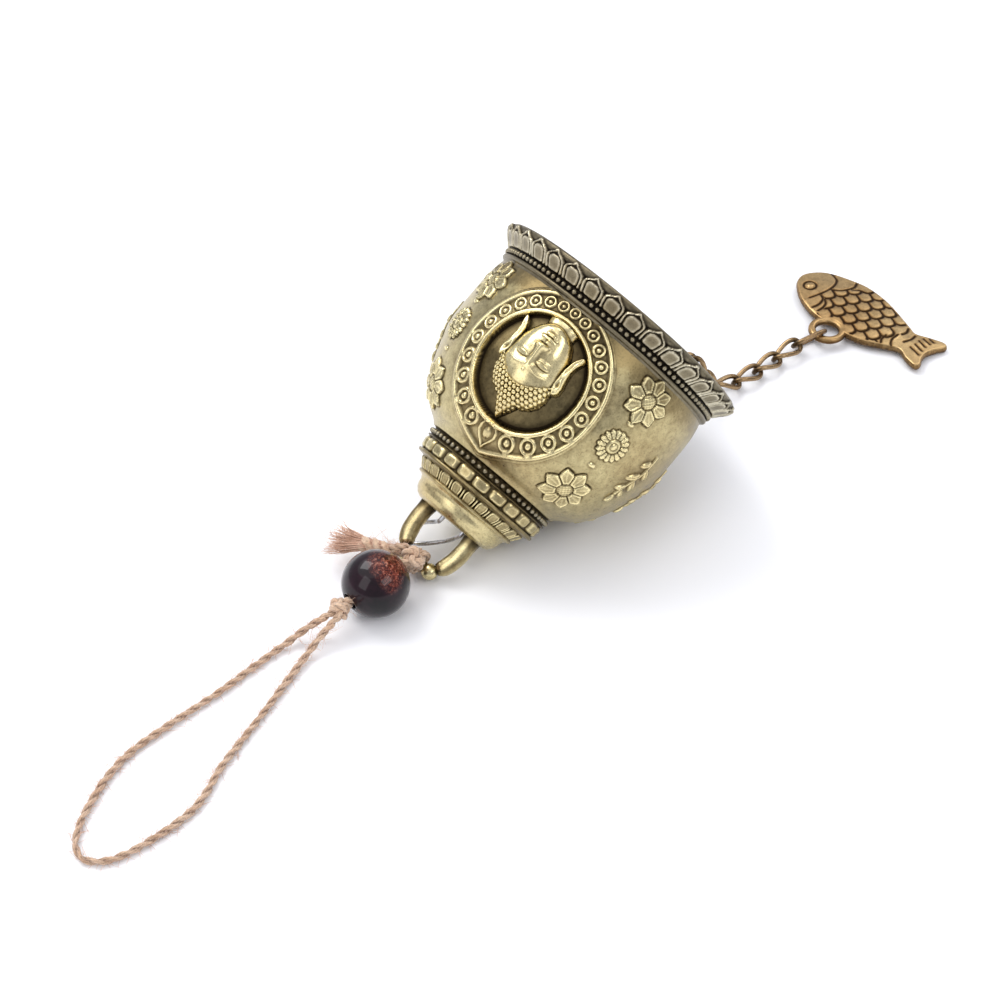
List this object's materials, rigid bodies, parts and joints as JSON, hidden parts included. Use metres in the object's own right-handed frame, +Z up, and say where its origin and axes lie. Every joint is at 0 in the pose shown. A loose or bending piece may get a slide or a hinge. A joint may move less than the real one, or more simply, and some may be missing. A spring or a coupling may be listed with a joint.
{
  "type": "temple bell",
  "caption": "Small cast brass temple bell lying on its side, with a bail, hanger wire, clapper, twisted chain, fish pendant, bead and twine hanging loop.",
  "frame": {"origin": "on the table, under the middle of the box round the metal parts", "axes": "+X from the crown towards the mouth and the fish, +Z up from the table"},
  "size_m": [0.1971, 0.0508, 0.0535],
  "materials": {
    "antique_brass": "aged, satin",
    "chain_brass": "aged, satin",
    "fish_brass": "aged, satin",
    "clapper_brass": "satin",
    "steel_wire": "drawn wire",
    "dark_glaze": "glossy, speckled",
    "jute_twine": "two-ply, hairy"
  },
  "bodies": {
    "bell": {"bell_shell": "antique_brass", "hanging_bail": "antique_brass", "hanger_wire": "steel_wire"},
    "chain_link_01": {"chain_link_01": "chain_brass"},
    "chain_link_02": {"chain_link_02": "chain_brass"},
    "chain_link_03": {"chain_link_03": "chain_brass"},
    "chain_link_04": {"chain_link_04": "chain_brass"},
    "clapper": {"clapper": "clapper_brass"},
    "chain_link_05": {"chain_link_05": "chain_brass"},
    "chain_link_06": {"chain_link_06": "chain_brass"},
    "chain_link_07": {"chain_link_07": "chain_brass"},
    "chain_link_08": {"chain_link_08": "chain_brass"},
    "chain_link_09": {"chain_link_09": "chain_brass"},
    "chain_link_10": {"chain_link_10": "chain_brass"},
    "chain_link_11": {"chain_link_11": "chain_brass"},
    "chain_link_12": {"chain_link_12": "chain_brass"},
    "chain_link_13": {"chain_link_13": "chain_brass"},
    "fish_link": {"fish_link": "chain_brass"},
    "fish": {"fish_pendant": "fish_brass"},
    "loop": {"twine_wrap": "jute_twine", "bail_knot": "jute_twine", "twine_core": "jute_twine", "bead_knot": "jute_twine", "twine_loop": "jute_twine", "twine_tail": "jute_twine"},
    "bead": {"bead": "dark_glaze"}
  },
  "joints": [
    {"name": "chain_link_01_swing", "type": "hinge", "parent": "bell", "child": "chain_link_01", "pos_m": [-0.03735, -0.00059, 0.01472], "axis": [-0.0209, 0.9998, 0], "range_deg": [-30, 0]},
    {"name": "chain_link_02_turn", "type": "hinge", "parent": "chain_link_01", "child": "chain_link_02", "pos_m": [-0.03246, -0.00049, 0.01301], "axis": [-0.3303, -0.0069, -0.9438], "range_deg": [-7, 7]},
    {"name": "chain_link_03_swing", "type": "hinge", "parent": "chain_link_02", "child": "chain_link_03", "pos_m": [-0.02757, -0.00038, 0.0113], "axis": [-0.0209, 0.9998, 0], "range_deg": [-28, 0]},
    {"name": "chain_link_04_turn", "type": "hinge", "parent": "chain_link_03", "child": "chain_link_04", "pos_m": [-0.02267, -0.00028, 0.00958], "axis": [0.3303, 0.0069, 0.9438], "range_deg": [-10, 10]},
    {"name": "clapper_swing", "type": "hinge", "parent": "chain_link_04", "child": "clapper", "pos_m": [-0.01778, -0.00018, 0.00787], "axis": [0, -1, 0], "range_deg": [0, 9]},
    {"name": "chain_link_05_turn", "type": "hinge", "parent": "clapper", "child": "chain_link_05", "pos_m": [-0.00531, -0.00018, 0.01423], "axis": [0.0523, 0, -0.9986], "range_deg": [-14, 22]},
    {"name": "chain_link_06_swing", "type": "hinge", "parent": "chain_link_05", "child": "chain_link_06", "pos_m": [-0.00013, -0.00018, 0.0145], "axis": [0, 1, 0], "range_deg": [-40, 5]},
    {"name": "chain_link_07_turn", "type": "hinge", "parent": "chain_link_06", "child": "chain_link_07", "pos_m": [0.00504, -0.00018, 0.01423], "axis": [0.4822, -0.0507, 0.8746], "range_deg": [-14, 18]},
    {"name": "chain_link_08_swing", "type": "hinge", "parent": "chain_link_07", "child": "chain_link_08", "pos_m": [0.00955, -0.00065, 0.01171], "axis": [-0.1736, -0.9848, 0], "range_deg": [-5, 45]},
    {"name": "chain_link_09_turn", "type": "hinge", "parent": "chain_link_08", "child": "chain_link_09", "pos_m": [0.01202, -0.00109, 0.00718], "axis": [-0.8295, 0.1763, -0.5299], "range_deg": [-28, 30]},
    {"name": "chain_link_10_swing", "type": "hinge", "parent": "chain_link_09", "child": "chain_link_10", "pos_m": [0.0147, -0.00166, 0.00279], "axis": [-0.1564, -0.9877, 0], "range_deg": [-45, 0]},
    {"name": "chain_link_11_turn", "type": "hinge", "parent": "chain_link_10", "child": "chain_link_11", "pos_m": [0.01965, -0.00244, 0.00145], "axis": [0, 0, 1], "range_deg": [-35, 25]},
    {"name": "chain_link_12_swing", "type": "hinge", "parent": "chain_link_11", "child": "chain_link_12", "pos_m": [0.02481, -0.0028, 0.00145], "axis": [0.0174, -0.9998, 0], "range_deg": [-30, 35]},
    {"name": "chain_link_13_turn", "type": "hinge", "parent": "chain_link_12", "child": "chain_link_13", "pos_m": [0.02999, -0.00271, 0.00145], "axis": [0.1252, -0.0066, -0.9921], "range_deg": [-32, 32]},
    {"name": "fish_link_swing", "type": "hinge", "parent": "chain_link_13", "child": "fish_link", "pos_m": [0.03513, -0.00298, 0.0021], "axis": [0.1478, 0.989, 0], "range_deg": [-40, 30]},
    {"name": "fish_pendant_turn", "type": "hinge", "parent": "fish_link", "child": "fish", "pos_m": [0.04094, -0.00385, 0.0021], "axis": [0, 0, 1], "range_deg": [-50, 50]},
    {"name": "loop_swing", "type": "hinge", "parent": "bell", "child": "loop", "pos_m": [-0.05642, 0, 0.00268], "axis": [-0.1462, 0.9603, 0.2376], "range_deg": [-55, 45]},
    {"name": "bead_spin", "type": "hinge", "parent": "loop", "child": "bead", "pos_m": [-0.06721, -0.0017, 0.006], "axis": [0.991, -0.0302, 0.1308], "continuous": true}
  ]
}
